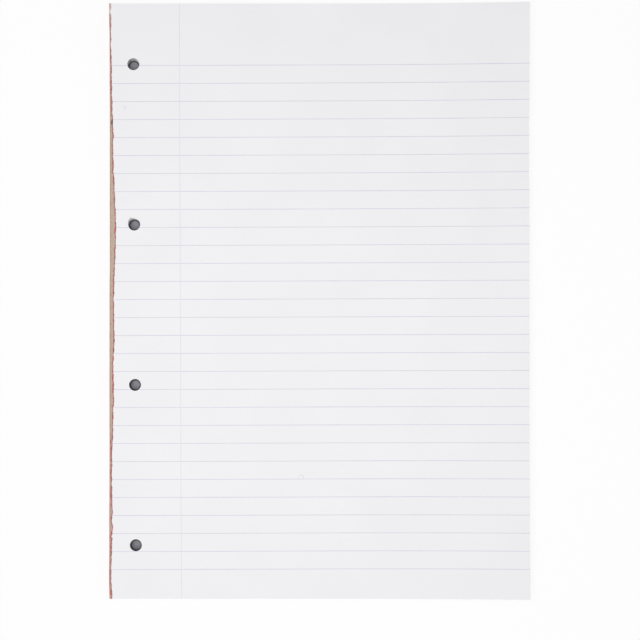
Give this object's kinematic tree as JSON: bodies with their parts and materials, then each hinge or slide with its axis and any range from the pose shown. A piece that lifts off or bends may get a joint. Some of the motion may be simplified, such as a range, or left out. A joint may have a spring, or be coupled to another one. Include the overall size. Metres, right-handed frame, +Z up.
{
  "type": "legal pad",
  "caption": "Side-bound ruled writing pad with a margin line, punched holes along the spine, a grey back board and a torn-off front cover.",
  "frame": {"origin": "middle of the footprint, on the surface that the pad lies on", "axes": "+X across the pad from the spine to the free edge, +Y along it towards the head, +Z up out of the written face"},
  "size_m": [0.209, 0.297, 0.0106],
  "materials": {
    "white_paper": "matte, uncoated",
    "grey_board": "matte, flecked",
    "padding_glue": "satin",
    "red_paper": "matte, worn",
    "torn_fibre": "rough torn fibre",
    "feint_ink": "matte print",
    "margin_ink": "matte print"
  },
  "bodies": {
    "root": {"page_block": "white_paper", "back_board": "grey_board", "spine_glue": "padding_glue", "binding_strip": "red_paper", "cover_stub": "torn_fibre", "feint_rules": "feint_ink", "margin_rule": "margin_ink"}
  },
  "joints": []
}
